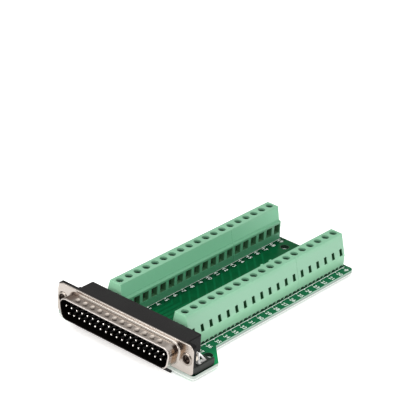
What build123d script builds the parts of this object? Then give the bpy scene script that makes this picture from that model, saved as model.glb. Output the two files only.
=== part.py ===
from build123d import *
import os

os.makedirs("parts", exist_ok=True)

# ---------------------------------------------------------------------------
# Breakout adapter: a 37-way right-angle D-sub plug on a board, with one row of
# 19 screw terminals along each long side.
# Frame: X across the board, Y from the plug to the rear, Z up.
# Origin: centre of the bounding box at its lowest level (pin tips on the table).
# All lengths are millimetres.
# ---------------------------------------------------------------------------

# overall frame
FACE_Y = -52.4            # front face of the plug's flange
BOARD_Z = 1.2             # underside of the board: the pin tips stand out by this much
BOARD_T = 1.6             # board thickness
TOP_Z = BOARD_Z + BOARD_T  # upper side of the board
PLUG_Z = TOP_Z + 6.5      # centre line of the plug above the board

# board outline
BOARD_FRONT = FACE_Y + 0.4
BOARD_REAR = FACE_Y + 110.7
EAR_HALF = 35.0           # half width across the two ears beside the plug
EAR_END = FACE_Y + 14.9   # where the ears turn in at 45 degrees
BODY_HALF = 26.2          # half width of the rest of the board
EAR_HOLE = (28.7, FACE_Y + 16.3)
REAR_HOLE = (5.5, FACE_Y + 104.9)
FIX_HOLE_R = 1.75         # fixing holes for M3 screws

# D-sub plug, 37 ways
PIN_PITCH = 2.77
ROW_HALF = 1.42           # the two contact rows stand this far above and below the centre
FLANGE_W, FLANGE_H, SHELL_T = 69.32, 12.55, 0.5
SHELL_IN_W, SHELL_IN_H, SHELL_IN_R = 56.0, 8.36, 2.6
SHELL_WALL = 0.42
SHELL_DEPTH = 5.9
SLOPE = 0.17633           # tangent of the 10 degree ends
JACK_HALF = 31.75         # half of the 63.50 jackscrew spacing
PIN_R = 0.51
PIN_TIP = FACE_Y - 5.4
WIRE_R = 0.32             # rear part of a contact
TAIL_LOW = FACE_Y + 5.0   # tails of the lower row
TAIL_HIGH = FACE_Y + 7.84  # tails of the upper row
INSERT_R = 2.0
THREAD_R = 1.42           # major radius of the jackscrew thread
DIMPLES, DIMPLE_PITCH = 12, 3.8

# black rear housing of the plug
PLATE_END = FACE_Y + 2.05
HOOD_END = FACE_Y + 9.6
HOOD_LEFT, HOOD_RIGHT = -25.25, 30.8
FOOT_END = FACE_Y + 13.1

# terminal rows
POLE = 5.08
POLES = 19
FRONT_POLES = 13          # each row is a 13-way block and a 6-way block
ROW_X = 16.7              # screw axes
FIRST_Y = FACE_Y + 15.55  # first screw axis
BLOCK_H = 14.37
EDGE_R = 0.22
BORE_R, HEAD_R = 1.58, 1.50
SHANK_HOLE_R, SHANK_R = 1.33, 1.25
HEAD_TOP, HEAD_LOW = 12.9, 11.0
SHELF_LOW = 10.3
CHAMBER = (14.3, 19.1, 1.95, 1.2)   # x from, x to, half width, floor height
ENTRY = (1.75, 3.0, 7.1)            # wire entry: half width, from, to
CAGE = (14.4, 19.0, 1.88, 1.2, 7.2)  # x from, x to, half width, from, to
TONGUE = (14.6, 19.05, 1.3, 5.5, 6.0)
PIN_X = (19.4, 19.9)
PIN_HALF = 0.45

UPPER_X = [-9 * PIN_PITCH + PIN_PITCH * i for i in range(19)]
LOWER_X = [-8.5 * PIN_PITCH + PIN_PITCH * i for i in range(18)]
POLE_Y = [FIRST_Y + POLE * i for i in range(POLES)]


def front_plane(y):
    """A plane facing the plug's mating side: its x is +X and its y is +Z."""
    return Plane(origin=(0, y, PLUG_Z), x_dir=(1, 0, 0), z_dir=(0, -1, 0))


def d_points(grow):
    """The D outline before its corners are rounded, grown by a distance on every side."""
    h = SHELL_IN_H / 2 + grow
    top = SHELL_IN_W / 2 + grow * 1.19
    low = top - 2 * h * SLOPE
    return [(-top, h), (top, h), (low, -h), (-low, -h)]


def finish(builder, name):
    builder.part.label = name
    export_step(builder.part, f"parts/{name}.step")


# ---------------------------------------------------------------------------
# Board: one routed panel with every hole it carries
# ---------------------------------------------------------------------------
with BuildPart() as pcb:
    with BuildSketch(Plane.XY.offset(BOARD_Z)) as board_outline:
        with BuildLine():
            Polyline(
                (-EAR_HALF, BOARD_FRONT),
                (EAR_HALF, BOARD_FRONT),
                (EAR_HALF, EAR_END),
                (BODY_HALF, EAR_END + EAR_HALF - BODY_HALF),
                (BODY_HALF, BOARD_REAR),
                (-BODY_HALF, BOARD_REAR),
                (-BODY_HALF, EAR_END + EAR_HALF - BODY_HALF),
                (-EAR_HALF, EAR_END),
                close=True,
            )
        make_face()
        fillet(board_outline.vertices().group_by(Axis.Y)[0], 1.2)
        fillet(board_outline.vertices().group_by(Axis.Y)[-1], 2.0)
        with Locations(
            EAR_HOLE, (-EAR_HOLE[0], EAR_HOLE[1]), REAR_HOLE, (-REAR_HOLE[0], REAR_HOLE[1])
        ):
            Circle(FIX_HOLE_R, mode=Mode.SUBTRACT)
        with Locations([(x, TAIL_HIGH) for x in UPPER_X] + [(x, TAIL_LOW) for x in LOWER_X]):
            Circle(0.5, mode=Mode.SUBTRACT)
        with Locations([(s * 19.65, y) for s in (-1, 1) for y in POLE_Y]):
            Circle(0.65, mode=Mode.SUBTRACT)
        with Locations((31.6, FACE_Y + 10.65), (-31.6, FACE_Y + 10.65)):
            Circle(0.8, mode=Mode.SUBTRACT)
    extrude(amount=BOARD_T)
finish(pcb, "pcb")

# black strip stuck under the front edge of the board, level with the pin tips
with BuildPart() as support_strip:
    with BuildSketch(Plane.XY):
        with Locations((0, FACE_Y + 0.45)):
            Rectangle(48.4, 0.8)
    extrude(amount=BOARD_Z)
finish(support_strip, "support_strip")

# ---------------------------------------------------------------------------
# Front shell: a drawn steel flange with the D-shaped skirt around the pins.
# The skirt is given as an upper and a lower half, so that its mouth stays open.
# ---------------------------------------------------------------------------
with BuildPart() as front_shell:
    with BuildSketch(front_plane(FACE_Y)) as flange:
        Rectangle(FLANGE_W, FLANGE_H)
        fillet(flange.vertices().group_by(Axis.Y)[-1], 2.6)
        fillet(flange.vertices().group_by(Axis.Y)[0], 1.2)
    extrude(amount=-SHELL_T)
    fillet(front_shell.faces().sort_by(Axis.Y)[0].edges(), 0.35)
    with BuildSketch(front_plane(FACE_Y + SHELL_T)) as mouth:
        with BuildLine():
            Polyline(*d_points(0), close=True)
        make_face()
        fillet(mouth.vertices(), SHELL_IN_R)
    extrude(amount=SHELL_T, mode=Mode.SUBTRACT)
    with BuildSketch(front_plane(FACE_Y)):
        with Locations((JACK_HALF, 0), (-JACK_HALF, 0)):
            Circle(INSERT_R + 0.03)
    extrude(amount=-SHELL_T, mode=Mode.SUBTRACT)
finish(front_shell, "front_shell")

with BuildPart() as skirt_whole:
    with BuildSketch(front_plane(FACE_Y)):
        Rectangle(FLANGE_W - 6, FLANGE_H - 1)
    extrude(amount=-SHELL_T)
    with BuildSketch(front_plane(FACE_Y)) as skirt:
        with BuildLine():
            Polyline(*d_points(SHELL_WALL), close=True)
        make_face()
        fillet(skirt.vertices(), SHELL_IN_R + SHELL_WALL)
    extrude(amount=SHELL_DEPTH)
    root = [
        e
        for e in skirt_whole.edges()
        if abs(e.bounding_box().min.Y - FACE_Y) < 1e-4
        and abs(e.bounding_box().max.Y - FACE_Y) < 1e-4
        and max(abs(e.bounding_box().min.X), abs(e.bounding_box().max.X)) < 29.5
        and e.bounding_box().max.Z < PLUG_Z + 5
        and e.bounding_box().min.Z > PLUG_Z - 5
    ]
    fillet(root, 0.8)
    rim = [e for e in skirt_whole.edges() if abs(e.bounding_box().max.Y - (FACE_Y - SHELL_DEPTH)) < 1e-4]
    fillet(rim, 0.3)
    with BuildSketch(front_plane(FACE_Y + SHELL_T)) as mouth:
        with BuildLine():
            Polyline(*d_points(0), close=True)
        make_face()
        fillet(mouth.vertices(), SHELL_IN_R)
    extrude(amount=SHELL_DEPTH + SHELL_T, mode=Mode.SUBTRACT)
    # pressed dimples along both long walls: a bowl outside and its swelling inside
    for side in (1, -1):
        out_z = PLUG_Z + side * (SHELL_IN_H / 2 + SHELL_WALL)
        in_z = PLUG_Z + side * SHELL_IN_H / 2
        first = -(DIMPLES - 1) / 2 * DIMPLE_PITCH
        for wide, depth, face_z, mode in ((1.05, 0.26, in_z, Mode.ADD), (1.25, 0.34, out_z, Mode.SUBTRACT)):
            r_x = (wide**2 + depth**2) / (2 * depth)
            r_y = (wide + 0.2) / (1 - ((r_x - depth) / r_x) ** 2) ** 0.5
            centre_z = face_z + side * (r_x - depth)
            with BuildPart(mode=Mode.PRIVATE) as bowl:
                with BuildSketch(Plane.YZ):
                    with Locations((FACE_Y - 3.3, centre_z)):
                        Ellipse(r_y, r_x)
                    with Locations((FACE_Y - 3.3, centre_z + r_x)):
                        Rectangle(2 * r_y, 2 * r_x, mode=Mode.SUBTRACT)
                revolve(axis=Axis((0, FACE_Y - 3.3, centre_z), (0, 1, 0)))
                # only the cap at the wall is kept
                with BuildSketch(Plane.XY.offset(face_z + side * 0.05)):
                    with Locations((0, FACE_Y - 3.3)):
                        Rectangle(4 * r_x, 4 * r_y)
                extrude(amount=side * 4 * r_x, mode=Mode.SUBTRACT)
            with Locations([(first + DIMPLE_PITCH * i, 0, 0) for i in range(DIMPLES)]):
                add(bowl.part, mode=mode)
    # the flange behind it is a node of its own
    split(bisect_by=Plane(origin=(0, FACE_Y, 0), z_dir=(0, -1, 0)), keep=Keep.TOP)

for keep, name in ((Keep.TOP, "shell_skirt_upper"), (Keep.BOTTOM, "shell_skirt_lower")):
    with BuildPart() as shell_skirt:
        add(skirt_whole.part)
        split(bisect_by=Plane.XY.offset(PLUG_Z), keep=keep)
    finish(shell_skirt, name)

# black insulator that carries the pins: a D-shaped block with a thin clamped collar
with BuildPart() as contact_insulator:
    with BuildSketch(front_plane(PLATE_END)) as core:
        with BuildLine():
            Polyline(*d_points(-0.08), close=True)
        make_face()
        fillet(core.vertices(), SHELL_IN_R - 0.08)
    extrude(amount=PLATE_END - FACE_Y + 0.8)
    with BuildSketch(front_plane(FACE_Y + SHELL_T + 0.8)) as collar:
        with BuildLine():
            Polyline(*d_points(0.9), close=True)
        make_face()
        fillet(collar.vertices(), SHELL_IN_R + 0.9)
    extrude(amount=0.8)
    with BuildSketch(front_plane(PLATE_END)):
        with Locations([(x, ROW_HALF) for x in UPPER_X] + [(x, -ROW_HALF) for x in LOWER_X]):
            Circle(PIN_R)
    extrude(amount=PLATE_END - FACE_Y + 0.8, mode=Mode.SUBTRACT)
finish(contact_insulator, "contact_insulator")

# ---------------------------------------------------------------------------
# Contacts: a round pin, then a thinner wire that turns down through the board
# ---------------------------------------------------------------------------


def contact(height, tail_y, wire):
    """One right-angle contact on the plane x = 0, or its channel when wire is larger."""
    pin_z = PLUG_Z + height
    with BuildPart() as one:
        with BuildSketch(Plane.YZ) as half:
            with BuildLine():
                if wire == WIRE_R:
                    Polyline(
                        (PLATE_END, pin_z),
                        (PLATE_END, pin_z + PIN_R),
                        (PIN_TIP + 0.5, pin_z + PIN_R),
                        (PIN_TIP + 0.12, pin_z + 0.32),
                        (PIN_TIP, pin_z + 0.12),
                        (PIN_TIP, pin_z),
                        close=True,
                    )
                else:
                    Polyline(
                        (PLATE_END, pin_z),
                        (PLATE_END, pin_z + wire),
                        (PLATE_END - 0.1, pin_z + wire),
                        (PLATE_END - 0.1, pin_z),
                        close=True,
                    )
            make_face()
        revolve(axis=Axis((0, 0, pin_z), (0, 1, 0)))
        with BuildSketch(front_plane(tail_y)):
            with Locations((0, height)):
                Circle(wire)
        extrude(amount=tail_y - PLATE_END)
        with Locations((0, tail_y, pin_z)):
            Sphere(wire)
        with BuildSketch(Plane(origin=(0, tail_y, pin_z), x_dir=(1, 0, 0), z_dir=(0, 0, -1))):
            Circle(wire)
        extrude(amount=pin_z)
    return one.part


upper_contact = contact(ROW_HALF, TAIL_HIGH, WIRE_R)
lower_contact = contact(-ROW_HALF, TAIL_LOW, WIRE_R)
upper_channel = contact(ROW_HALF, TAIL_HIGH, WIRE_R + 0.05)
lower_channel = contact(-ROW_HALF, TAIL_LOW, WIRE_R + 0.05)

with BuildPart() as contacts_upper_row:
    with Locations([(x, 0, 0) for x in UPPER_X]):
        add(upper_contact)
finish(contacts_upper_row, "contacts_upper_row")

with BuildPart() as contacts_lower_row:
    with Locations([(x, 0, 0) for x in LOWER_X]):
        add(lower_contact)
finish(contacts_lower_row, "contacts_lower_row")

# ---------------------------------------------------------------------------
# Rear housing: back plate, hood over the bent contacts and a foot at each end
# ---------------------------------------------------------------------------
with BuildPart() as rear_housing:
    with BuildSketch(front_plane(PLATE_END)) as plate:
        Rectangle(FLANGE_W - 0.3, FLANGE_H - 0.1)
        fillet(plate.vertices().group_by(Axis.Y)[-1], 1.2)
        fillet(plate.vertices().group_by(Axis.Y)[0], 1.1)
    extrude(amount=PLATE_END - FACE_Y - SHELL_T)
    # the hood's upper part starts further in on the left than on the right
    hood_top = PLUG_Z + FLANGE_H / 2 - 0.05
    with BuildSketch(Plane.XY.offset(TOP_Z)) as hood:
        with BuildLine():
            Polyline(
                (HOOD_LEFT, PLATE_END),
                (HOOD_RIGHT, PLATE_END),
                (HOOD_RIGHT, HOOD_END),
                (HOOD_LEFT, HOOD_END),
                close=True,
            )
        make_face()
        fillet(hood.vertices().group_by(Axis.Y)[-1].sort_by(Axis.X)[-1], 1.2)
        fillet(hood.vertices().group_by(Axis.Y)[-1].sort_by(Axis.X)[0], 0.4)
    extrude(amount=hood_top - TOP_Z)
    crown = [
        e
        for e in rear_housing.edges()
        if e.bounding_box().min.Z > hood_top - 0.01 and e.bounding_box().max.Y > PLATE_END + 1
    ]
    fillet(crown, 0.25)
    with BuildSketch(Plane.XY.offset(TOP_Z)):
        with Locations(((HOOD_LEFT - HOOD_RIGHT) / 2, (PLATE_END + FACE_Y + 8.4) / 2)):
            Rectangle(HOOD_RIGHT + HOOD_LEFT, FACE_Y + 8.4 - PLATE_END)
    extrude(amount=PLUG_Z + 2.0 - TOP_Z)
    # feet on the board, each with a low outer wall
    for s in (-1, 1):
        with BuildSketch(Plane.XY.offset(TOP_Z)):
            with Locations((s * 31.6, (PLATE_END + FOOT_END) / 2)):
                Rectangle(5.6, FOOT_END - PLATE_END)
        extrude(amount=1.7)
        with BuildSketch(Plane.XY.offset(TOP_Z)):
            with Locations((s * 34.0, (PLATE_END + FOOT_END) / 2)):
                Rectangle(0.8, FOOT_END - PLATE_END)
        extrude(amount=2.8)
        with BuildSketch(Plane.XY.offset(TOP_Z)):
            with Locations((s * 31.6, FACE_Y + 10.65)):
                Rectangle(1.3, 0.6)
        extrude(amount=1.7, mode=Mode.SUBTRACT)
    # opening for the insulator, its collar, and the two inserts
    with BuildSketch(front_plane(PLATE_END)) as opening:
        with BuildLine():
            Polyline(*d_points(0), close=True)
        make_face()
        fillet(opening.vertices(), SHELL_IN_R)
    extrude(amount=PLATE_END - FACE_Y, mode=Mode.SUBTRACT)
    with BuildSketch(front_plane(FACE_Y + SHELL_T + 0.85)) as pocket:
        with BuildLine():
            Polyline(*d_points(0.95), close=True)
        make_face()
        fillet(pocket.vertices(), SHELL_IN_R + 0.95)
    extrude(amount=0.85, mode=Mode.SUBTRACT)
    with BuildSketch(front_plane(PLATE_END)):
        with Locations((JACK_HALF, 0), (-JACK_HALF, 0)):
            Circle(INSERT_R + 0.03)
    extrude(amount=PLATE_END - FACE_Y, mode=Mode.SUBTRACT)
    # the insert's rear collar stands behind the plate, clear of the hood's end
    with BuildSketch(front_plane(FACE_Y + 3.5)):
        with Locations((JACK_HALF, 0), (-JACK_HALF, 0)):
            Circle(2.7)
    extrude(amount=FACE_Y + 3.5 - PLATE_END, mode=Mode.SUBTRACT)
    # room for the end of a jackscrew beside the hood
    with BuildSketch(front_plane(FACE_Y + 6.2)):
        with Locations((JACK_HALF, 0), (-JACK_HALF, 0)):
            Circle(2.2)
    extrude(amount=FACE_Y + 6.2 - PLATE_END, mode=Mode.SUBTRACT)
    # channels for the bent contacts
    with Locations([(x, 0, 0) for x in UPPER_X]):
        add(upper_channel, mode=Mode.SUBTRACT)
    with Locations([(x, 0, 0) for x in LOWER_X]):
        add(lower_channel, mode=Mode.SUBTRACT)
finish(rear_housing, "rear_housing")

# threaded inserts for the mating plug's jackscrews, riveted through shell and plate
for s, name in ((-1, "threaded_insert_left"), (1, "threaded_insert_right")):
    with BuildPart() as threaded_insert:
        with BuildSketch(Plane.XY.offset(PLUG_Z)):
            with BuildLine():
                x = s * JACK_HALF
                Polyline(
                    (x + THREAD_R, FACE_Y + 3.4),
                    (x + 2.6, FACE_Y + 3.4),
                    (x + 2.6, PLATE_END),
                    (x + INSERT_R, PLATE_END),
                    (x + INSERT_R, FACE_Y),
                    (x + 2.65, FACE_Y),
                    (x + 2.65, FACE_Y - 0.12),
                    (x + 2.3, FACE_Y - 0.38),
                    (x + 1.85, FACE_Y - 0.38),
                    (x + THREAD_R, FACE_Y + 0.1),
                    close=True,
                )
            make_face()
        revolve(axis=Axis((x, 0, PLUG_Z), (0, 1, 0)))
    finish(threaded_insert, name)

# earthing clips: a strip bent into a small triangle, with a tail through foot and board
for s, name in ((-1, "ground_clip_left"), (1, "ground_clip_right")):
    with BuildPart() as ground_clip:
        foot_z = TOP_Z + 1.7
        y0, y1, z1 = FACE_Y + 6.4, FACE_Y + 10.9, TOP_Z + 6.6
        with BuildSketch(Plane.YZ.offset(s * 31.6)) as clip:
            with BuildLine():
                Polyline((y0, foot_z), (y1, foot_z), (y1, foot_z + 0.3), (y0 + 0.45, z1), (y0, z1), close=True)
            make_face()
            with BuildLine():
                Polyline(
                    (y0 + 0.5, foot_z + 0.5),
                    (y1 - 0.95, foot_z + 0.5),
                    (y0 + 0.5, z1 - 0.95),
                    close=True,
                )
            make_face(mode=Mode.SUBTRACT)
            with Locations((FACE_Y + 10.65, (foot_z + 0.1) / 2)):
                Rectangle(0.5, foot_z + 0.1)
        extrude(amount=0.6, both=True)
        with BuildSketch(Plane.YZ.offset(s * 32.0)):
            with Locations((y0 + 0.35, foot_z + 0.3)):
                Rectangle(0.7, 0.6)
        extrude(amount=s * 1.1)
    finish(ground_clip, name)

# ---------------------------------------------------------------------------
# Screw terminals. Each row is moulded as two housings; the wire entries of both
# rows look at the middle of the board.
# ---------------------------------------------------------------------------


def terminal_housing(side, first, count):
    """The moulded body of some poles of one row. side is -1 for the left row."""

    def profile(*pts):
        return [(side * x, TOP_Z + z) for x, z in pts]

    ys = POLE_Y[first : first + count]
    start, end = ys[0] - POLE / 2, ys[-1] + POLE / 2
    if first:
        start += 0.02
    with BuildPart() as body:
        with BuildSketch(Plane(origin=(0, end, 0), x_dir=(1, 0, 0), z_dir=(0, -1, 0))):
            with BuildLine():
                Polyline(
                    *profile(
                        (11.85, 0), (11.87, 8.0), (12.85, 8.5), (13.9, BLOCK_H),
                        (19.55, BLOCK_H), (21.85, 5.3), (21.7, 0),
                    ),
                    close=True,
                )
            make_face()
        extrude(amount=end - start)
        fillet([e for e in body.edges() if e.bounding_box().max.Z > TOP_Z + 0.1], EDGE_R)
        x0, x1, half, floor = CHAMBER
        # chamber of the rising cage
        with BuildSketch(Plane.XY.offset(TOP_Z + floor)):
            with Locations([(side * (x0 + x1) / 2, y) for y in ys]):
                Rectangle(x1 - x0, 2 * half)
        extrude(amount=SHELF_LOW - floor, mode=Mode.SUBTRACT)
        # shank hole through the shelf, and the bore of the head above it
        with BuildSketch(Plane.XY.offset(TOP_Z + SHELF_LOW)):
            with Locations([(side * ROW_X, y) for y in ys]):
                Circle(SHANK_HOLE_R)
        extrude(amount=HEAD_LOW - SHELF_LOW, mode=Mode.SUBTRACT)
        with BuildSketch(Plane.XY.offset(TOP_Z + HEAD_LOW)):
            with Locations([(side * ROW_X, y) for y in ys]):
                Circle(BORE_R)
        extrude(amount=BLOCK_H - HEAD_LOW, mode=Mode.SUBTRACT)
        # wire entry in the inner wall
        entry_half, entry_low, entry_high = ENTRY
        with BuildSketch(Plane.XY.offset(TOP_Z + entry_low)):
            with Locations([(side * (11 + x0) / 2, y) for y in ys]):
                Rectangle(x0 - 11 + 0.1, 2 * entry_half)
        extrude(amount=entry_high - entry_low, mode=Mode.SUBTRACT)
        # test slot in the outer wall, and the groove that runs out above it
        with BuildSketch(Plane.XY.offset(TOP_Z + 5.6)):
            with Locations([(side * (x1 + 23) / 2, y + 0.15) for y in ys]):
                Rectangle(23 - x1 + 0.1, 1.7)
        extrude(amount=2.9, mode=Mode.SUBTRACT)
        with BuildSketch(Plane.XY.offset(TOP_Z + 5.6)):
            with Locations([(side * 21.7, y + 0.4) for y in ys]):
                Circle(0.75)
        extrude(amount=7, mode=Mode.SUBTRACT)
        # slot of the solder pin
        with BuildSketch(Plane.XY.offset(TOP_Z)):
            with Locations([(side * (x1 + PIN_X[1]) / 2, y) for y in ys]):
                Rectangle(PIN_X[1] - x1, 2 * PIN_HALF + 0.1)
        extrude(amount=6.1, mode=Mode.SUBTRACT)
        # two small gate marks on the inner top edge of one housing
        if side > 0 and not first:
            with BuildSketch(Plane.XY.offset(TOP_Z + BLOCK_H - 1.3)):
                with Locations([(13.6, FACE_Y + 65.0), (13.6, FACE_Y + 70.3)]):
                    Rectangle(0.6, 1.3)
            extrude(amount=1.3)
        # gaps between the small feet along the outer edge
        with BuildSketch(Plane.XY.offset(TOP_Z)):
            with Locations([(side * 21.6, y + d * POLE / 3) for y in ys for d in (-1, 0, 1)]):
                Rectangle(1.4, 1.25)
        extrude(amount=0.5, mode=Mode.SUBTRACT)
    return body


for side, row in ((-1, "left"), (1, "right")):
    for first, count, end in ((0, FRONT_POLES, "front"), (FRONT_POLES, POLES - FRONT_POLES, "rear")):
        finish(terminal_housing(side, first, count), f"terminal_block_{row}_{end}")

# clamping cages, one a pole: a box with a window for the wire and a hole for the screw
for side, row in ((-1, "left"), (1, "right")):
    cx0, cx1, chalf, clow, chigh = CAGE
    with BuildPart() as clamp_cages:
        with BuildSketch(Plane.XY.offset(TOP_Z + clow)):
            with Locations([(side * (cx0 + cx1) / 2, y) for y in POLE_Y]):
                Rectangle(cx1 - cx0, 2 * chalf)
        extrude(amount=chigh - clow)
        with BuildSketch(Plane.XY.offset(TOP_Z + clow + 0.8)):
            with Locations([(side * (cx0 + cx1) / 2, y) for y in POLE_Y]):
                Rectangle(cx1 - cx0 + 1, 2 * chalf - 1.0)
        extrude(amount=chigh - clow - 2.0, mode=Mode.SUBTRACT)
        with BuildSketch(Plane.XY.offset(TOP_Z + chigh)):
            with Locations([(side * ROW_X, y) for y in POLE_Y]):
                Circle(SHANK_HOLE_R)
        extrude(amount=-1.2, mode=Mode.SUBTRACT)
    finish(clamp_cages, f"clamp_cages_{row}")

# fixed tongues: each lies in its cage's window, and its pin goes down through the board
for side, row in ((-1, "left"), (1, "right")):
    tx0, tx1, thalf, tlow, thigh = TONGUE
    with BuildPart() as terminal_pins:
        with BuildSketch(Plane.XY.offset(TOP_Z + tlow)):
            with Locations([(side * (tx0 + tx1) / 2, y) for y in POLE_Y]):
                Rectangle(tx1 - tx0, 2 * thalf)
            with Locations([(side * (tx1 + PIN_X[1]) / 2, y) for y in POLE_Y]):
                Rectangle(PIN_X[1] - tx1, 2 * PIN_HALF)
        extrude(amount=thigh - tlow)
        with BuildSketch(Plane.XY):
            with Locations([(side * (PIN_X[0] + PIN_X[1]) / 2, y) for y in POLE_Y]):
                Rectangle(PIN_X[1] - PIN_X[0], 2 * PIN_HALF)
        extrude(amount=TOP_Z + thigh)
    finish(terminal_pins, f"terminal_pins_{row}")

# terminal screws: a cylindrical head with a crossed slot, resting just above its shelf
with BuildPart() as screw_form:
    with BuildSketch(Plane.XY.offset(6.2)):
        Circle(SHANK_R)
    extrude(amount=HEAD_LOW + 0.02 - 6.2)
    with BuildSketch(Plane.XY.offset(HEAD_LOW + 0.02)):
        Circle(HEAD_R)
    extrude(amount=HEAD_TOP - HEAD_LOW - 0.02)
    chamfer(screw_form.edges().filter_by(GeomType.CIRCLE).group_by(Axis.Z)[-1], 0.15)
    with BuildSketch(Plane.XY.offset(HEAD_TOP)):
        Rectangle(3.2, 0.55)
        Rectangle(0.55, 2.2)
    extrude(amount=-0.8, mode=Mode.SUBTRACT)

TURNS = [12, 71, 38, 5, 83, 54, 27, 66, 19, 47, 88, 33, 2, 60, 41, 76, 15, 50, 29]
for side, row in ((-1, "left"), (1, "right")):
    for i, y in enumerate(POLE_Y):
        if side < 0:
            name = f"screw_{i + 1:02d}"
        elif i < POLES - 1:
            name = f"screw_{37 - i:02d}"
        else:
            name = "screw_ground"
        turn = TURNS[i] if side < 0 else TURNS[-1 - i] + 7
        with BuildPart() as screw:
            with Locations(Location((side * ROW_X, y, TOP_Z), (0, 0, turn))):
                add(screw_form.part)
        finish(screw, name)
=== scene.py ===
import math

import bmesh
import bpy
from mathutils import Matrix, Vector


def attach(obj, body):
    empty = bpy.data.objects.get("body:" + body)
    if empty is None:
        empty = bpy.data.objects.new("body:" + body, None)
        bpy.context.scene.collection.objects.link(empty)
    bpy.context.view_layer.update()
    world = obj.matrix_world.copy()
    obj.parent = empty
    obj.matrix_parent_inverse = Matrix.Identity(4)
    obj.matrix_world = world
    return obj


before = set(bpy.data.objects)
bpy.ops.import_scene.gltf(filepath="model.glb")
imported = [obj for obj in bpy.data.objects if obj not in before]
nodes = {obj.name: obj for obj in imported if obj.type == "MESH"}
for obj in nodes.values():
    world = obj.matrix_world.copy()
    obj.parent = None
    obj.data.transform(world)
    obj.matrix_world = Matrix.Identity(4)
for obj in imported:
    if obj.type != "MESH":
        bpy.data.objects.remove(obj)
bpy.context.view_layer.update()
MM = 0.001

# ---------------------------------------------------------------------------
# Sizes shared with the solids, in millimetres, in the row frame
# ---------------------------------------------------------------------------
FACE_Y = -52.4
BOARD_Z, TOP_Z = 1.2, 2.8
PLUG_Z = 9.3
POLE = 5.08
POLE_Y = [FACE_Y + 15.55 + POLE * i for i in range(19)]
UPPER_X = [-24.93 + 2.77 * i for i in range(19)]
LOWER_X = [-23.545 + 2.77 * i for i in range(18)]
TAIL_LOW, TAIL_HIGH = FACE_Y + 5.0, FACE_Y + 7.84


# ---------------------------------------------------------------------------
# Materials
# ---------------------------------------------------------------------------
def new_mat(name, color, rough, metal=0.0, spec=0.5, coat=0.0, coat_rough=0.1):
    m = bpy.data.materials.new(name)
    m.use_nodes = True
    b = m.node_tree.nodes["Principled BSDF"]
    b.inputs["Base Color"].default_value = (*color, 1)
    b.inputs["Roughness"].default_value = rough
    b.inputs["Metallic"].default_value = metal
    b.inputs["Specular IOR Level"].default_value = spec
    b.inputs["Coat Weight"].default_value = coat
    b.inputs["Coat Roughness"].default_value = coat_rough
    return m, m.node_tree, b


def coords(nt, scale=(1, 1, 1)):
    tc = nt.nodes.new("ShaderNodeTexCoord")
    mp = nt.nodes.new("ShaderNodeMapping")
    mp.inputs["Scale"].default_value = scale
    nt.links.new(tc.outputs["Object"], mp.inputs["Vector"])
    return mp.outputs["Vector"]


def noise(nt, vec, scale, detail=3.0, rough=0.5):
    n = nt.nodes.new("ShaderNodeTexNoise")
    n.inputs["Scale"].default_value = scale
    n.inputs["Detail"].default_value = detail
    n.inputs["Roughness"].default_value = rough
    nt.links.new(vec, n.inputs["Vector"])
    return n.outputs["Fac"]


def ramp(nt, fac, stops):
    r = nt.nodes.new("ShaderNodeValToRGB")
    el = r.color_ramp.elements
    while len(el) < len(stops):
        el.new(0.5)
    for e, (pos, col) in zip(el, stops):
        e.position = pos
        e.color = (*col, 1) if len(col) == 3 else col
    nt.links.new(fac, r.inputs["Fac"])
    return r.outputs["Color"]


def grey(v):
    return (v, v, v)


def bump(nt, bsdf, fac, strength, dist):
    bp = nt.nodes.new("ShaderNodeBump")
    bp.inputs["Strength"].default_value = strength
    bp.inputs["Distance"].default_value = dist
    nt.links.new(fac, bp.inputs["Height"])
    nt.links.new(bp.outputs["Normal"], bsdf.inputs["Normal"])


def mix(nt, fac, a, b):
    m = nt.nodes.new("ShaderNodeMix")
    m.data_type = "RGBA"
    nt.links.new(fac, m.inputs[0])
    for sock, v in ((6, a), (7, b)):
        if isinstance(v, tuple):
            m.inputs[sock].default_value = (*v, 1)
        else:
            nt.links.new(v, m.inputs[sock])
    return m.outputs[2]


def math_node(nt, op, a, b=None, clamp=False):
    m = nt.nodes.new("ShaderNodeMath")
    m.operation = op
    m.use_clamp = clamp
    for i, v in enumerate((a, b)):
        if v is None:
            continue
        if isinstance(v, (int, float)):
            m.inputs[i].default_value = v
        else:
            nt.links.new(v, m.inputs[i])
    return m.outputs[0]


def object_axis(nt, axis, absolute=False):
    """The object coordinate along an axis, in millimetres."""
    tc = nt.nodes.new("ShaderNodeTexCoord")
    sp = nt.nodes.new("ShaderNodeSeparateXYZ")
    nt.links.new(tc.outputs["Object"], sp.inputs[0])
    v = math_node(nt, "MULTIPLY", sp.outputs[axis], 1000.0)
    return math_node(nt, "ABSOLUTE", v) if absolute else v


def remap(nt, v, a, b):
    """0 at a, 1 at b."""
    r = nt.nodes.new("ShaderNodeMapRange")
    r.inputs["From Min"].default_value = a
    r.inputs["From Max"].default_value = b
    nt.links.new(v, r.inputs["Value"])
    return r.outputs["Result"]


def above(nt, v, limit):
    return math_node(nt, "GREATER_THAN", v, limit)


def below(nt, v, limit):
    return math_node(nt, "LESS_THAN", v, limit)


def both(nt, *facts):
    out = facts[0]
    for f in facts[1:]:
        out = math_node(nt, "MULTIPLY", out, f)
    return out


def spot(nt, u, v, u0, v0, ru, rv):
    """1 in the middle of an ellipse, fading to 0 at its edge."""
    du = math_node(nt, "DIVIDE", math_node(nt, "SUBTRACT", u, u0), ru)
    dv = math_node(nt, "DIVIDE", math_node(nt, "SUBTRACT", v, v0), rv)
    d = math_node(nt, "SQRT", math_node(nt, "ADD", math_node(nt, "MULTIPLY", du, du), math_node(nt, "MULTIPLY", dv, dv)))
    return remap(nt, d, 1.15, 0.7)


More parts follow.
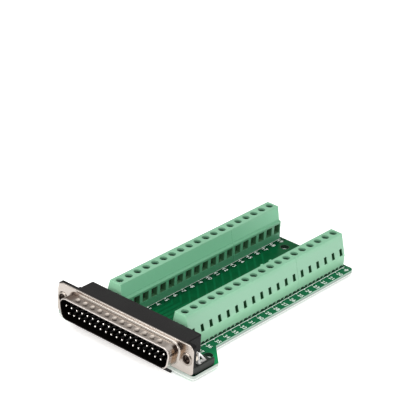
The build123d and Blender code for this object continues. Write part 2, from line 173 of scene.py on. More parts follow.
EAR_HOLE = (28.7, FACE_Y + 16.3)
REAR_HOLE = (5.5, FACE_Y + 104.9)
HOLE_R = 1.75
MASK = (0.0022, 0.092, 0.030)
MASK_DARK = (0.0018, 0.070, 0.022)
TRACK = (0.003, 0.118, 0.041)


def within(nt, x0, y0, r):
    """1 inside the cylinders |x| = x0, y = y0 of radius r, else 0."""
    dx = math_node(nt, "SUBTRACT", object_axis(nt, 0, True), x0)
    dy = math_node(nt, "SUBTRACT", object_axis(nt, 1), y0)
    d = math_node(nt, "SQRT", math_node(nt, "ADD", math_node(nt, "MULTIPLY", dx, dx), math_node(nt, "MULTIPLY", dy, dy)))
    return math_node(nt, "LESS_THAN", d, r)


def mask_material(name, dark, light):
    m, nt, b = new_mat(name, dark, 0.22, spec=0.06, coat=0.0)
    v = coords(nt)
    # the mask is a little uneven, a little paler beyond the right row, and painted light out at the ears: paler there,
    # standing in for light coming through the thin board near its edge
    n = noise(nt, v, 260, 4)
    body = ramp(nt, n, [(0.3, dark), (0.75, light)])
    x = object_axis(nt, 0, True)
    ear_glow = remap(nt, x, 26.6, 32.0)
    body = mix(nt, above(nt, x, 21.8), body, (0.0062, 0.114, 0.046))
    body = mix(nt, ear_glow, body, (0.006, 0.25, 0.080))
    # painted shadow along the foot of the left row; also darker in the middle of the board behind the plug
    x_side, y = object_axis(nt, 0), object_axis(nt, 1)
    foot = both(nt, above(nt, x_side, -12.2), remap(nt, x_side, -8.4, -9.4), above(nt, y, FACE_Y + 12.0))
    body = mix(nt, math_node(nt, "MULTIPLY", foot, 0.62), body, (0.0012, 0.020, 0.011))
    plug = both(nt, remap(nt, y, FACE_Y + 27.0, FACE_Y + 20.0), remap(nt, x, 11.5, 9.5))
    body = mix(nt, math_node(nt, "MULTIPLY", plug, 0.6), body, (0.0012, 0.026, 0.012))
    geo = nt.nodes.new("ShaderNodeNewGeometry")
    sp = nt.nodes.new("ShaderNodeSeparateXYZ")
    nt.links.new(geo.outputs["Normal"], sp.inputs[0])
    flat = math_node(nt, "GREATER_THAN", math_node(nt, "ABSOLUTE", sp.outputs[2]), 0.5)
    layers = noise(nt, coords(nt, (600, 600, 3500)), 1.0, 2)
    fibre = ramp(nt, layers, [(0.3, (0.25, 0.37, 0.30)), (0.7, (0.31, 0.45, 0.37))])
    # painted shade: the lower part of the cut edge is painted grey
    fibre = mix(nt, remap(nt, object_axis(nt, 2), BOARD_Z + 0.95, BOARD_Z + 0.80), fibre, (0.17, 0.19, 0.18))
    pale = ramp(nt, layers, [(0.3, (0.34, 0.39, 0.36)), (0.7, (0.42, 0.47, 0.43))])
    fibre = mix(nt, math_node(nt, "GREATER_THAN", x, 26.6), fibre, pale)
    fibre = mix(nt, math_node(nt, "LESS_THAN", object_axis(nt, 1), FACE_Y + 1.0), fibre, pale)
    # painted light: the lower rim of the cut edge is painted near white, standing in for light bounced up from the
    # floor
    low = remap(nt, object_axis(nt, 2), BOARD_Z + 0.60, BOARD_Z + 0.30)
    fibre = mix(nt, low, fibre, (0.66, 0.70, 0.67))
    # painted shade on the board's top beside the flange at the outer edge of each ear
    margin_shade = both(nt, above(nt, x, 33.2), remap(nt, y, FACE_Y + 13.0, FACE_Y + 11.5))
    body = mix(nt, margin_shade, body, (0.0012, 0.016, 0.008))
    # painted shade inside the fixing holes
    hole_shade = math_node(nt, "MAXIMUM", within(nt, *EAR_HOLE, 2.1), within(nt, *REAR_HOLE, 2.1))
    fibre = mix(nt, hole_shade, fibre, (0.010, 0.030, 0.018))
    nt.links.new(mix(nt, flat, fibre, body), b.inputs["Base Color"])
    rough = ramp(nt, noise(nt, v, 700, 2), [(0.3, grey(0.15)), (0.7, grey(0.24))])
    nt.links.new(mix(nt, flat, grey(0.6), rough), b.inputs["Roughness"])
    bump(nt, b, noise(nt, v, 900, 2), 0.05, 0.00002)
    return m


mat_mask = mask_material("solder_mask", MASK_DARK, MASK)


def track_material():
    m, nt, b = new_mat("mask_over_copper", TRACK, 0.2, spec=0.06)
    v = coords(nt)
    run = ramp(nt, noise(nt, v, 300, 3), [(0.3, (0.0025, 0.098, 0.033)), (0.75, TRACK)])
    x, y = object_axis(nt, 0), object_axis(nt, 1)
    # brightest by the plug, hardly lighter than the board further back
    plug = remap(nt, y, FACE_Y + 30.0, FACE_Y + 18.0)
    run = mix(nt, plug, run, (0.006, 0.165, 0.055))
    # painted shadow along the foot of the left row, as on the bare mask
    foot = both(nt, above(nt, x, -12.2), remap(nt, x, -8.4, -9.4), above(nt, y, FACE_Y + 12.0))
    run = mix(nt, math_node(nt, "MULTIPLY", foot, 0.6), run, (0.0012, 0.026, 0.013))
    nt.links.new(run, b.inputs["Base Color"])
    bump(nt, b, noise(nt, v, 900, 2), 0.05, 0.00002)
    return m


mat_track = track_material()


def silk_material():
    m, nt, b = new_mat("legend_ink", (0.80, 0.82, 0.80), 0.55)
    v = coords(nt)
    nt.links.new(ramp(nt, noise(nt, v, 2500, 3), [(0.35, (0.76, 0.84, 0.79)), (0.6, (0.88, 0.94, 0.90))]), b.inputs["Base Color"])
    return m


mat_silk = silk_material()


def terminal_material():
    m, nt, b = new_mat("terminal_green", (0.21, 0.44, 0.28), 0.42, spec=0.4)
    v = coords(nt)
    blot = noise(nt, v, 55, 3)
    body = ramp(nt, blot, [(0.3, (0.180, 0.400, 0.255)), (0.7, (0.205, 0.440, 0.288))])
    # painted light: the outer wall is painted paler, as lit by the side light, and the inner slope a more saturated
    # green
    x = object_axis(nt, 0, True)
    body = mix(nt, remap(nt, x, 19.5, 20.1), body, (0.222, 0.420, 0.292))
    body = mix(nt, remap(nt, x, 13.95, 13.75), body, (0.190, 0.486, 0.300))
    # painted shade: the chambers behind the wire entries and the screw bores are painted darker, near black deep
    # inside, and the ledge above the entries a darker green
    x, y, z = object_axis(nt, 0, True), object_axis(nt, 1), object_axis(nt, 2)
    between = both(nt, above(nt, y, FACE_Y + 13.06), below(nt, y, FACE_Y + 109.48))
    entry_shade = both(nt, remap(nt, x, 11.95, 12.3), below(nt, x, 19.3), below(nt, z, 10.0))
    bore_shade = both(nt, above(nt, x, 14.25), below(nt, x, 19.3), remap(nt, z, 17.0, 15.9))
    ridge = both(nt, remap(nt, x, 12.95, 12.8), above(nt, z, 9.6))
    body = mix(nt, ridge, body, (0.128, 0.350, 0.208))
    entry_shade = both(nt, between, entry_shade)
    bore_shade = both(nt, between, bore_shade)
    body = mix(nt, entry_shade, body, (0.062, 0.180, 0.085))
    body = mix(nt, both(nt, entry_shade, remap(nt, x, 13.6, 14.8)), body, (0.006, 0.024, 0.011))
    body = mix(nt, bore_shade, body, (0.024, 0.115, 0.060))
    body = mix(nt, both(nt, bore_shade, remap(nt, z, 16.5, 15.7)), body, (0.003, 0.022, 0.010))
    # painted shade on the low part of the inner wall
    low_wall_shade = both(nt, between, below(nt, x, 12.1), remap(nt, z, 10.5, 9.7))
    depth = math_node(nt, "SUBTRACT", 0.82, math_node(nt, "MULTIPLY", remap(nt, z, 5.6, 6.2), 0.20))
    body = mix(nt, math_node(nt, "MULTIPLY", low_wall_shade, depth), body, (0.038, 0.225, 0.110))
    # painted light: the outer wall is painted a stronger green towards its foot, and the front end face paler, as lit
    # from the front
    outer_foot_light = both(nt, above(nt, x, 21.2), remap(nt, z, 9.5, 8.0))
    body = mix(nt, outer_foot_light, body, (0.236, 0.480, 0.312))
    body = mix(nt, below(nt, y, FACE_Y + 13.05), body, (0.330, 0.690, 0.445))
    # painted shadow in the gaps between the small feet along the outer edge
    phase = math_node(nt, "FRACT", math_node(nt, "DIVIDE", math_node(nt, "SUBTRACT", y, POLE_Y[0] - 50 * POLE - 0.76), POLE / 2))
    reach = math_node(nt, "ABSOLUTE", math_node(nt, "SUBTRACT", phase, 0.5))
    foot_gap_shadow = both(nt, above(nt, x, 20.6), below(nt, z, TOP_Z + 1.0), below(nt, reach, 0.35))
    body = mix(nt, foot_gap_shadow, body, (0.004, 0.010, 0.007))
    # painted shade in the narrow test slots in the outer wall: depth below the sloping face
    slope = math_node(nt, "MULTIPLY", math_node(nt, "SUBTRACT", z, TOP_Z + 5.3), 0.25358)
    face = math_node(nt, "SUBTRACT", 21.85, slope)
    depth = math_node(nt, "SUBTRACT", face, x)
    slot_shade = both(nt, between, remap(nt, depth, 0.03, 0.22), above(nt, x, 19.2), above(nt, z, TOP_Z + 5.4), below(nt, z, TOP_Z + 10.6))
    body = mix(nt, slot_shade, body, (0.006, 0.055, 0.016))
    nt.links.new(body, b.inputs["Base Color"])
    nt.links.new(ramp(nt, noise(nt, v, 1400, 3), [(0.3, grey(0.36)), (0.7, grey(0.50))]), b.inputs["Roughness"])
    bump(nt, b, noise(nt, v, 3200, 3), 0.12, 0.00003)
    return m


mat_terminal = terminal_material()


def black_material():
    m, nt, b = new_mat("black_plastic", (0.010, 0.010, 0.010), 0.45, spec=0.24)
    v = coords(nt)
    hood = ramp(nt, noise(nt, v, 90, 3), [(0.3, (0.0055, 0.0054, 0.0058)), (0.7, (0.0085, 0.0082, 0.0086))])
    # the feet on the board are greyer
    x, z = object_axis(nt, 0, True), object_axis(nt, 2)
    foot = both(nt, above(nt, x, 28.7), remap(nt, z, TOP_Z + 3.2, TOP_Z + 2.6))
    nt.links.new(mix(nt, foot, hood, (0.0145, 0.017, 0.0145)), b.inputs["Base Color"])
    # the end face is less glossy than the top
    end = both(nt, above(nt, x, 30.3), above(nt, z, TOP_Z + 3.2))
    nt.links.new(math_node(nt, "SUBTRACT", 0.24, math_node(nt, "MULTIPLY", end, 0.15)), b.inputs["Specular IOR Level"])
    nt.links.new(ramp(nt, noise(nt, v, 1800, 3), [(0.3, grey(0.40)), (0.7, grey(0.55))]), b.inputs["Roughness"])
    bump(nt, b, noise(nt, v, 3800, 3), 0.25, 0.00003)
    return m


mat_black = black_material()


def inner_black():
    m, nt, b = new_mat("insulator_black", (0.006, 0.006, 0.006), 0.55, spec=0.3)
    v = coords(nt)
    nt.links.new(ramp(nt, noise(nt, v, 120, 2), [(0.3, (0.004, 0.004, 0.004)), (0.7, (0.009, 0.0085, 0.008))]), b.inputs["Base Color"])
    bump(nt, b, noise(nt, v, 3000, 2), 0.2, 0.00003)
    return m


mat_inner = inner_black()


def plated(name, a, c, rough, spread=0.08, grain=1.0, bump_s=0.15):
    m, nt, b = new_mat(name, a, rough, metal=1.0)
    v = coords(nt)
    n = noise(nt, v, 140, 4)
    nt.links.new(ramp(nt, n, [(0.3, a), (0.7, c)]), b.inputs["Base Color"])
    g = noise(nt, v, 1500 * grain, 3)
    nt.links.new(ramp(nt, g, [(0.3, grey(rough - spread)), (0.7, grey(rough + spread))]), b.inputs["Roughness"])
    bump(nt, b, noise(nt, v, 2600 * grain, 2), bump_s, 0.00002)
    return m


def nickel_material():
    m, nt, b = new_mat("nickel_shell", (0.56, 0.505, 0.455), 0.20, metal=1.0)
    v = coords(nt)
    body = ramp(nt, noise(nt, v, 140, 4), [(0.3, (0.56, 0.51, 0.465)), (0.7, (0.66, 0.61, 0.565))])
    x, y, z = object_axis(nt, 0), object_axis(nt, 1), object_axis(nt, 2)
    skirt = below(nt, y, FACE_Y - 0.9)
    flange = above(nt, y, FACE_Y - 0.02)
    root = both(nt, above(nt, y, FACE_Y - 0.9), below(nt, y, FACE_Y - 0.02))
    # painted light: the flange face, the root and the skirt get darker copies of the plating colour, set by how much
    # light each reflects
    face = ramp(nt, noise(nt, v, 140, 4), [(0.3, (0.405, 0.365, 0.330)), (0.7, (0.475, 0.435, 0.400))])
    body = mix(nt, flange, body, face)
    body = mix(nt, root, body, (0.41, 0.375, 0.340))
    body = mix(nt, math_node(nt, "MULTIPLY", skirt, 0.55), body, (0.30, 0.265, 0.235))
    # painted shade: the skirt is darker towards the left end, standing in for a dimmer reflection there
    left_shade = both(nt, skirt, remap(nt, x, 8.0, -24.0))
    body = mix(nt, math_node(nt, "MULTIPLY", left_shade, 0.50), body, (0.17, 0.140, 0.120))
    # painted highlight and shade in the dimples: a bright spot at the back of each, a dark patch in front
    phase = math_node(nt, "FRACT", math_node(nt, "DIVIDE", math_node(nt, "ADD", x, 20.9 + 1.9), 3.8))
    u = math_node(nt, "MULTIPLY", math_node(nt, "SUBTRACT", phase, 0.5), 3.8)
    w = math_node(nt, "SUBTRACT", y, FACE_Y - 3.3)
    along = both(nt, skirt, below(nt, math_node(nt, "ABSOLUTE", x), 22.8), above(nt, math_node(nt, "ABSOLUTE", math_node(nt, "SUBTRACT", z, PLUG_Z)), 4.1))
    body = mix(nt, both(nt, along, spot(nt, u, w, 0.75, -0.80, 1.35, 0.75)), body, (0.080, 0.062, 0.052))
    body = mix(nt, both(nt, along, spot(nt, u, w, -0.45, 0.70, 0.90, 0.80)), body, (0.52, 0.465, 0.415))
    # painted shade on the left end of the skirt
    ends = both(nt, below(nt, y, FACE_Y - 0.02), remap(nt, x, -21.9, -23.5))
    body = mix(nt, math_node(nt, "MULTIPLY", ends, 0.95), body, (0.20, 0.150, 0.122))
    # painted reflection at the right end: brown, with a dark patch at the top by the flange
    right_end_reflection = both(nt, skirt, remap(nt, x, 26.9, 27.6))
    body = mix(nt, right_end_reflection, body, (0.36, 0.245, 0.160))
    dark_reflection_patch = both(nt, remap(nt, x, 25.6, 26.6), remap(nt, z, PLUG_Z + 1.0, PLUG_Z + 2.2), remap(nt, y, FACE_Y - 3.0, FACE_Y - 2.2), below(nt, y, FACE_Y - 0.45))
    body = mix(nt, dark_reflection_patch, body, (0.050, 0.036, 0.030))
    # painted highlight along the rolled front edge and on the right end's rim
    lip_highlight = math_node(nt, "MAXIMUM", both(nt, remap(nt, x, 25.0, 27.0), remap(nt, y, FACE_Y - 3.6, FACE_Y - 4.3)), remap(nt, y, FACE_Y - 5.15, FACE_Y - 5.45))
    body = mix(nt, lip_highlight, body, (0.50, 0.46, 0.43))
    # painted shade on the left end's rim and along the low front rim
    left_rim_shade = both(nt, remap(nt, x, -26.6, -27.6), remap(nt, z, PLUG_Z + 4.0, PLUG_Z + 3.0), below(nt, y, FACE_Y - 4.9))
    body = mix(nt, left_rim_shade, body, (0.060, 0.050, 0.044))
    low_rim_shade = both(nt, below(nt, z, PLUG_Z - 3.6), below(nt, x, 25.0), below(nt, y, FACE_Y - 4.9))
    body = mix(nt, low_rim_shade, body, (0.040, 0.034, 0.030))
    shaded = both(nt, flange, remap(nt, x, 31.2, 30.2), above(nt, x, 27.0), remap(nt, z, PLUG_Z + 2.6, PLUG_Z + 3.6))
    body = mix(nt, math_node(nt, "MULTIPLY", shaded, 0.25), body, (0.09, 0.065, 0.052))
    # painted shade on the flange at the edge of the holes round the inserts
    dx = math_node(nt, "SUBTRACT", math_node(nt, "ABSOLUTE", x), 31.75)
    dz = math_node(nt, "SUBTRACT", z, PLUG_Z)
    r = math_node(nt, "SQRT", math_node(nt, "ADD", math_node(nt, "MULTIPLY", dx, dx), math_node(nt, "MULTIPLY", dz, dz)))
    body = mix(nt, both(nt, flange, remap(nt, r, 2.10, 2.05)), body, (0.30, 0.265, 0.235))
    # painted shade: the walls that look in on the pins are painted near black and made rough; they are found by their
    # normal pointing towards the plug's middle
    geo = nt.nodes.new("ShaderNodeNewGeometry")
    sp = nt.nodes.new("ShaderNodeSeparateXYZ")
    nt.links.new(geo.outputs["Normal"], sp.inputs[0])
    mid = math_node(nt, "MAXIMUM", math_node(nt, "MINIMUM", x, 24.0), -24.0)
    out_x = math_node(nt, "MULTIPLY", sp.outputs[0], math_node(nt, "SUBTRACT", x, mid))
    out_z = math_node(nt, "MULTIPLY", sp.outputs[2], math_node(nt, "SUBTRACT", z, PLUG_Z))
    inner_wall_shade = both(nt, below(nt, math_node(nt, "ADD", out_x, out_z), -0.6), below(nt, y, FACE_Y - 0.02), above(nt, y, FACE_Y - 5.62))
    nt.links.new(mix(nt, inner_wall_shade, body, (0.010, 0.009, 0.008)), b.inputs["Base Color"])
    rough = ramp(nt, noise(nt, v, 1500, 3), [(0.3, grey(0.13)), (0.7, grey(0.28))])
    nt.links.new(mix(nt, inner_wall_shade, rough, grey(0.55)), b.inputs["Roughness"])
    bump(nt, b, noise(nt, v, 2600, 2), 0.15, 0.00002)
    return m


mat_nickel = nickel_material()


def insert_material():
    m, nt, b = new_mat("nickel_insert", (0.50, 0.45, 0.40), 0.24, metal=1.0)
    v = coords(nt)
    body = ramp(nt, noise(nt, v, 140, 4), [(0.3, (0.46, 0.41, 0.36)), (0.7, (0.58, 0.53, 0.47))])
    dx = math_node(nt, "SUBTRACT", object_axis(nt, 0, True), 31.75)
    dz = math_node(nt, "SUBTRACT", object_axis(nt, 2), PLUG_Z)
    r = math_node(nt, "SQRT", math_node(nt, "ADD", math_node(nt, "MULTIPLY", dx, dx), math_node(nt, "MULTIPLY", dz, dz)))
    front = below(nt, object_axis(nt, 1), FACE_Y + 0.35)
    # painted shade: the insert's front is darkened, with a near black ring round the threaded hole standing in for the
    # shadow of a recess; inside, the bore is painted dark with dark roots, and a painted highlight lies on the upper
    # turns
    body = mix(nt, front, body, (0.30, 0.265, 0.235))
    body = mix(nt, both(nt, front, remap(nt, r, 1.86, 1.76)), body, (0.026, 0.018, 0.014))
    thread = both(nt, below(nt, r, 1.5), remap(nt, dz, 0.1, 0.7))
    body = mix(nt, below(nt, r, 1.5), body, (0.055, 0.040, 0.033))
    body = mix(nt, thread, body, (0.36, 0.315, 0.280))
    root = both(nt, remap(nt, r, 1.22, 1.34), below(nt, r, 1.5))
    body = mix(nt, root, body, (0.030, 0.022, 0.018))
    nt.links.new(body, b.inputs["Base Color"])
    bump(nt, b, noise(nt, v, 2600, 2), 0.12, 0.00002)
    return m


def pin_material():
    m, nt, b = new_mat("contact_plating", (0.85, 0.82, 0.77), 0.2, metal=1.0)
    v = coords(nt)
    body = ramp(nt, noise(nt, v, 140, 3), [(0.3, (0.85, 0.82, 0.77)), (0.7, (0.95, 0.93, 0.89))])
    y = object_axis(nt, 1)
    # bright at the rounded tip; painted shade: the shaft is painted near black where it stands in the dark of the
    # skirt
    shaft_shade = both(nt, above(nt, y, FACE_Y - 5.28), below(nt, y, FACE_Y))
    nt.links.new(mix(nt, shaft_shade, body, (0.045, 0.040, 0.035)), b.inputs["Base Color"])
    return m


mat_insert = insert_material()
mat_pin = pin_material()
mat_tin = plated("tin_plating", (0.80, 0.79, 0.77), (0.90, 0.89, 0.87), 0.28)
mat_solder = plated("solder", (0.62, 0.63, 0.63), (0.78, 0.78, 0.77), 0.30, 0.1)
mat_zinc = plated("zinc_plating", (0.30, 0.285, 0.21), (0.42, 0.39, 0.30), 0.38, 0.1)
mat_clip, _n, _b2 = new_mat("tinned_clip", (0.93, 0.925, 0.91), 0.42, metal=0.1)
mat_screw = plated("screw_zinc", (0.46, 0.46, 0.44), (0.60, 0.60, 0.57), 0.30, 0.1)


def dress(obj, mat):
    if obj.data.materials:
        for i in range(len(obj.data.materials)):
            obj.data.materials[i] = mat
    else:
        obj.data.materials.append(mat)


for name, obj in nodes.items():
    if name == "pcb":
        dress(obj, mat_mask)
    elif name == "rear_housing":
        dress(obj, mat_black)
    elif name in ("support_strip", "contact_insulator"):
        dress(obj, mat_inner)
    elif name == "front_shell" or name.startswith("shell_skirt"):
        dress(obj, mat_nickel)
    elif name.startswith("threaded_insert"):
        dress(obj, mat_insert)
    elif name.startswith("contacts_"):
        dress(obj, mat_pin)
    elif name.startswith("ground_clip"):
        dress(obj, mat_clip)
    elif name.startswith("terminal_pins"):
        dress(obj, mat_tin)
    elif name.startswith("terminal_block"):
        dress(obj, mat_terminal)
    elif name.startswith("clamp_cages"):
        dress(obj, mat_zinc)
    elif name.startswith("screw_"):
        dress(obj, mat_screw)


# ---------------------------------------------------------------------------
# Mesh helpers
# ---------------------------------------------------------------------------
def add_mesh(name, bm, mat, body="board", smooth=False):
    bmesh.ops.recalc_face_normals(bm, faces=bm.faces)
    me = bpy.data.meshes.new(name)
    bm.to_mesh(me)
    bm.free()
    if smooth:
        for p in me.polygons:
            p.use_smooth = True
    me.materials.append(mat)
    o = bpy.data.objects.new(name, me)
    bpy.context.scene.collection.objects.link(o)
    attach(o, body)
    return o


def prism(bm, pts, z0, z1):
    """A closed slab over a polygon given in millimetres."""
    low = [bm.verts.new((x * MM, y * MM, z0 * MM)) for x, y in pts]
    top = [bm.verts.new((x * MM, y * MM, z1 * MM)) for x, y in pts]
    n = len(pts)
    bm.faces.new(low[::-1])
    bm.faces.new(top)
    for i in range(n):
        bm.faces.new((low[i], low[(i + 1) % n], top[(i + 1) % n], top[i]))


def ribbon(bm, pts, width, z0, z1, cap=True):
    """A track or a line along a polyline, with mitred corners and round ends."""
    h = width / 2
    left, right = [], []
    n = len(pts)
    for i, (x, y) in enumerate(pts):
        if i == 0:
            d = Vector((pts[1][0] - x, pts[1][1] - y)).normalized()
            nrm, k = Vector((-d.y, d.x)), 1.0
        elif i == n - 1:
            d = Vector((x - pts[i - 1][0], y - pts[i - 1][1])).normalized()
            nrm, k = Vector((-d.y, d.x)), 1.0
        else:
            d0 = Vector((x - pts[i - 1][0], y - pts[i - 1][1])).normalized()
            d1 = Vector((pts[i + 1][0] - x, pts[i + 1][1] - y)).normalized()
            n0, n1 = Vector((-d0.y, d0.x)), Vector((-d1.y, d1.x))
            nrm = (n0 + n1).normalized()
            k = 1.0 / max(0.35, nrm.dot(n0))
        left.append((x + nrm.x * h * k, y + nrm.y * h * k))
        right.append((x - nrm.x * h * k, y - nrm.y * h * k))
    outline = list(left)
    if cap:
        d = Vector((pts[-1][0] - pts[-2][0], pts[-1][1] - pts[-2][1])).normalized()
        base = math.atan2(d.x, -d.y)
        for j in range(1, 6):
            a = base - math.pi * j / 6
            outline.append((pts[-1][0] + h * math.cos(a), pts[-1][1] + h * math.sin(a)))
    outline += right[::-1]
    if cap:
        d = Vector((pts[0][0] - pts[1][0], pts[0][1] - pts[1][1])).normalized()
        base = math.atan2(d.x, -d.y)
        for j in range(1, 6):
            a = base - math.pi * j / 6
            outline.append((pts[0][0] + h * math.cos(a), pts[0][1] + h * math.sin(a)))
    prism(bm, outline, z0, z1)


def ring(bm, x, y, r0, r1, z0, z1, seg=32):
    """A flat washer-like ring."""
    rows = []
    for r, z in ((r0, z0), (r1, z0), (r1, z1), (r0, z1)):
        rows.append([bm.verts.new(((x + r * math.cos(2 * math.pi * i / seg)) * MM, (y + r * math.sin(2 * math.pi * i / seg)) * MM, z * MM)) for i in range(seg)])
    for k in range(4):
        a, b = rows[k], rows[(k + 1) % 4]
        for i in range(seg):
            j = (i + 1) % seg
            bm.faces.new((a[i], a[j], b[j], b[i]))


def lathe(bm, x, y, profile, seg=20):
    """A closed turned shape about a vertical axis. The profile starts and ends on the axis or closes on itself."""
    rows = []
    for r, z in profile:
        if r < 1e-6:
            rows.append([bm.verts.new((x * MM, y * MM, z * MM))])
        else:
            rows.append([bm.verts.new(((x + r * math.cos(2 * math.pi * i / seg)) * MM, (y + r * math.sin(2 * math.pi * i / seg)) * MM, z * MM)) for i in range(seg)])
    for a, b in zip(rows, rows[1:]):
        for i in range(seg):
            j = (i + 1) % seg
            if len(a) == 1 and len(b) == 1:
                continue
            if len(a) == 1:
                bm.faces.new((a[0], b[i], b[j]))
            elif len(b) == 1:
                bm.faces.new((a[i], a[j], b[0]))
            else:
                bm.faces.new((a[i], a[j], b[j], b[i]))


# ---------------------------------------------------------------------------
# Copper tracks under the mask. The left row's leave the plug along the board and
# turn off at 45 degrees, one to a terminal; the right row's lie on the underside.
# ---------------------------------------------------------------------------
track_top, track_low = bmesh.new(), bmesh.new()
LIFT = 0.03
for k in range(19):
    y_end = POLE_Y[k] + 0.3
    x_run = -18.2 + 2.25 * k
    turn = y_end - (x_run + 12.2)
    start = FACE_Y + 10.4
    pts = []
    if turn > start:
        pts = [(x_run, start), (x_run, turn), (-12.2, y_end), (-18.3, y_end)]
    else:
        x_in = -12.2 + (y_end - start)
        pts = [(x_in, start), (-12.2, y_end), (-18.3, y_end)]
    if x_run < -12.2:
        pts = [(-18.2 + 0.9 * k, start), (-18.2 + 0.9 * k, y_end - 1.2), (-18.6, y_end)] if k < 3 else pts
    if x_run > 18.2:
        continue
    straight = pts[:2] if turn > start and x_run >= -12.2 else None
    ribbon(track_top, pts, 0.85, TOP_Z, TOP_Z + LIFT)
    if straight and x_run < 12.5:
        ribbon(track_top, [straight[0], (straight[1][0], straight[1][1] - 0.6)], 1.45, TOP_Z, TOP_Z + LIFT * 0.8)
    # mirror image below, for the other row
    low = [(-x, y) for x, y in pts]
    ribbon(track_low, low, 0.85, BOARD_Z - LIFT, BOARD_Z)
add_mesh("tracks_top", track_top, mat_track)
add_mesh("tracks_underside", track_low, mat_track)

# ---------------------------------------------------------------------------
# Legend: numbers, a line with a mark for each pole along each row, ground symbol
# ---------------------------------------------------------------------------
INK = 0.04
legend = bmesh.new()
for k, y in enumerate(POLE_Y):
    for side, x_line, x_tip in ((-1, -11.6, -10.95), (1, 22.3, 22.95)):
        yc = y + 0.9
        prism(legend, [(x_line, yc - 0.34), (x_tip, yc - 0.05), (x_tip, yc + 0.10), (x_line, yc + 0.34)], TOP_Z, TOP_Z + INK)
for x_line, w in ((-11.62, 0.15), (22.25, 0.24)):
    ribbon(legend, [(x_line, FACE_Y + 13.2), (x_line, FACE_Y + 109.4)], w, TOP_Z, TOP_Z + INK, cap=False)
gx, gy = 24.6, POLE_Y[18] + 0.9
ribbon(legend, [(gx, gy + 1.0), (gx, gy - 0.1)], 0.28, TOP_Z, TOP_Z + INK * 0.9, cap=False)
for w, dy in ((2.0, -0.1), (1.3, -0.6), (0.6, -1.1)):
    ribbon(legend, [(gx - w / 2, gy + dy), (gx + w / 2, gy + dy)], 0.28, TOP_Z, TOP_Z + INK, cap=False)
add_mesh("legend_lines", legend, mat_silk)

digits = bmesh.new()


def number(text, x, y, size):
    cu = bpy.data.curves.new("number", "FONT")
    cu.body = text
    cu.size = size * MM
    cu.align_x = "CENTER"
    cu.align_y = "CENTER"
    cu.resolution_u = 3
    cu.offset = 0.005 * MM
    cu.extrude = INK / 2 * MM
    o = bpy.data.objects.new("number", cu)
    bpy.context.scene.collection.objects.link(o)
    dg = bpy.context.evaluated_depsgraph_get()
    me = bpy.data.meshes.new_from_object(o.evaluated_get(dg))
    me.transform(Matrix.Translation(Vector((x * MM, y * MM, (TOP_Z + INK / 2) * MM))) @ Matrix.Diagonal((0.92, 1.0, 1.0, 1.0)))
    digits.from_mesh(me)
    bpy.data.meshes.remove(me)
    bpy.data.objects.remove(o)
    bpy.data.curves.remove(cu)


for k in range(19):
    number(str(k + 1), -10.15, POLE_Y[k] + 0.5, 2.75)
    if k < 18:
        number(str(37 - k), 24.75, POLE_Y[k] + 0.85, 2.75)
bmesh.ops.remove_doubles(digits, verts=digits.verts, dist=1e-7)
add_mesh("legend_numbers", digits, mat_silk)

# rings of bare laminate around the fixing holes, coloured near black as painted shade
rims = bmesh.new()
for x, y in (EAR_HOLE, (-EAR_HOLE[0], EAR_HOLE[1]), REAR_HOLE, (-REAR_HOLE[0], REAR_HOLE[1])):
    ring(rims, x, y, HOLE_R + 0.02, HOLE_R + 0.2, TOP_Z - 0.01, TOP_Z + 0.012)
    ring(rims, x, y, HOLE_R + 0.02, HOLE_R + 0.2, BOARD_Z - 0.012, BOARD_Z + 0.01)
mat_rim_shade, _nt, _b = new_mat("hole_rim", (0.05, 0.12, 0.08), 0.4)
_nt.links.new(ramp(_nt, noise(_nt, coords(_nt), 900, 2), [(0.3, (0.006, 0.026, 0.015)), (0.7, (0.012, 0.042, 0.024))]), _b.inputs["Base Color"])
add_mesh("hole_rims", rims, mat_rim_shade)

# ---------------------------------------------------------------------------
# Solder: annular pads and fillets on the underside
# ---------------------------------------------------------------------------
pads, joints = bmesh.new(), bmesh.new()


def joint(x, y, r_pad, r_pin, drop):
    ring(pads, x, y, r_pad * 0.55, r_pad, BOARD_Z - 0.04, BOARD_Z - 0.0, 20)
    prof = [(0.0, BOARD_Z + 0.02), (r_pad * 0.92, BOARD_Z - 0.03), (r_pad * 0.78, BOARD_Z - 0.12)]
    for j in range(1, 6):
        t = j / 5
        prof.append((r_pad * 0.78 + (r_pin - r_pad * 0.78) * math.sin(t * math.pi / 2), BOARD_Z - 0.12 - (drop - 0.12) * (1 - math.cos(t * math.pi / 2))))
    prof.append((0.0, BOARD_Z - drop - 0.01))
    lathe(joints, x, y, prof, 16)


for x in UPPER_X:
    joint(x, TAIL_HIGH, 0.85, 0.40, 0.80)
for x in LOWER_X:
    joint(x, TAIL_LOW, 0.85, 0.40, 0.80)
for s in (-1, 1):
    for y in POLE_Y:
        joint(s * 19.65, y, 1.15, 0.58, 0.85)
    joint(s * 31.6, FACE_Y + 10.65, 1.35, 0.70, 0.80)
add_mesh("solder_pads", pads, mat_solder)
add_mesh("solder_joints", joints, mat_solder, smooth=True)

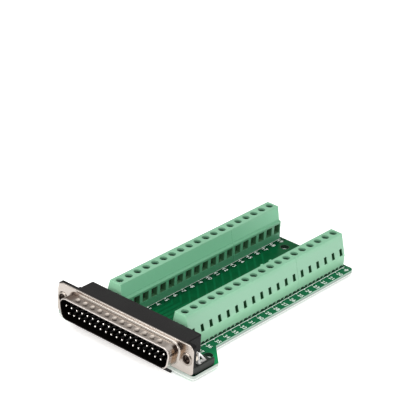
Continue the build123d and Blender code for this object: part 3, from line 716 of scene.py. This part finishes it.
# ---------------------------------------------------------------------------
# Thread inside each insert: a 40 turns per inch ridge
# ---------------------------------------------------------------------------
for s, name in ((-1, "insert_thread_left"), (1, "insert_thread_right")):
    bm = bmesh.new()
    pitch, seg = 0.635, 28
    r_out, r_in = 1.425, 1.13
    y0, y1 = FACE_Y + 0.18, FACE_Y + 3.3
    turns = (y1 - y0 - pitch * 0.7) / pitch
    steps = int(turns * seg)
    prev = None
    for i in range(steps + 1):
        a = 2 * math.pi * i / seg
        yy = y0 + pitch * 0.35 + pitch * i / seg
        fade = min(1.0, i / (seg * 0.4), (steps - i) / (seg * 0.4))
        r_tip = r_out - (r_out - r_in) * max(0.04, fade)
        row = []
        for r, dy in ((r_out, -0.26), (r_tip, -0.05), (r_tip, 0.05), (r_out, 0.26)):
            row.append(bm.verts.new(((s * 31.75 + r * math.cos(a)) * MM, (yy + dy) * MM, (PLUG_Z + r * math.sin(a)) * MM)))
        if prev:
            for k in range(4):
                bm.faces.new((prev[k], prev[(k + 1) % 4], row[(k + 1) % 4], row[k]))
        else:
            bm.faces.new(row)
        prev = row
    bm.faces.new(prev[::-1])
    add_mesh(name, bm, mat_insert)

# ---------------------------------------------------------------------------
# Floor, light and camera
# ---------------------------------------------------------------------------
floor_me = bpy.data.meshes.new("floor")
floor_me.from_pydata([(-3, -3, 0), (3, -3, 0), (3, 3, 0), (-3, 3, 0)], [], [(0, 1, 2, 3)])
floor = bpy.data.objects.new("floor", floor_me)
bpy.context.scene.collection.objects.link(floor)
mat_floor, nt, b = new_mat("floor_paper", (0.90, 0.90, 0.90), 0.9, spec=0.1)
b.inputs["Emission Color"].default_value = (1.0, 1.0, 1.0, 1)
b.inputs["Emission Strength"].default_value = 0.42
floor_me.materials.append(mat_floor)

world = bpy.data.worlds.new("studio")
bpy.context.scene.world = world
world.use_nodes = True
wt = world.node_tree
bg = wt.nodes["Background"]
wc = wt.nodes.new("ShaderNodeTexCoord")
ws = wt.nodes.new("ShaderNodeSeparateXYZ")
wt.links.new(wc.outputs["Generated"], ws.inputs[0])
# a dim room with a bright ceiling and a white strip along the horizon
wt.links.new(ramp(wt, ws.outputs[2], [(0.0, (1.0, 1.0, 1.0)), (0.058, (1.0, 1.0, 1.0)), (0.065, (0.21, 0.195, 0.185)), (0.30, (0.26, 0.24, 0.225)), (0.62, (0.80, 0.78, 0.76)), (0.80, (1.0, 0.99, 0.98))]), bg.inputs["Color"])
bg.inputs["Strength"].default_value = 1.0


def area(name, at, to, size, power, color=(1, 1, 1)):
    l = bpy.data.lights.new(name, "AREA")
    l.shape = "RECTANGLE"
    l.size, l.size_y = size
    l.energy = power
    l.color = color
    o = bpy.data.objects.new(name, l)
    bpy.context.scene.collection.objects.link(o)
    o.location = at
    d = Vector(to) - Vector(at)
    o.rotation_euler = d.to_track_quat("-Z", "Y").to_euler()
    return o


area("key", (0.06, -0.30, 0.95), (0, 0, 0), (1.1, 1.1), 4.0)
area("front", (-0.35, -0.95, 0.42), (0, 0, 0.01), (0.7, 0.4), 4.0)
area("side", (0.90, -0.36, 0.46), (0, 0, 0.01), (0.8, 0.5), 5.0)

cam_data = bpy.data.cameras.new("camera")
cam_data.sensor_width = 36.0
cam_data.sensor_fit = "HORIZONTAL"
cam_data.lens = 2067.77 * 36.0 / 400.0
cam_data.clip_start, cam_data.clip_end = 0.01, 20
cam = bpy.data.objects.new("camera", cam_data)
bpy.context.scene.collection.objects.link(cam)
az, el, roll = (math.radians(v) for v in (39.339, 26.801, 3.334))
back = Vector((math.sin(az) * math.cos(el), -math.cos(az) * math.cos(el), math.sin(el)))
right = Vector((math.cos(az), math.sin(az), 0))
up = back.cross(right)
c, s = math.cos(roll), math.sin(roll)
right, up = right * c + up * s, up * c - right * s
rot = Matrix((right, up, back)).transposed().to_4x4()
cam.matrix_world = Matrix.Translation(Vector((0.44706, -0.5568, 0.4053))) @ rot
bpy.context.scene.camera = cam

bpy.context.scene.view_settings.view_transform = "Standard"
bpy.context.scene.view_settings.look = "None"
bpy.context.scene.view_settings.exposure = 0.0
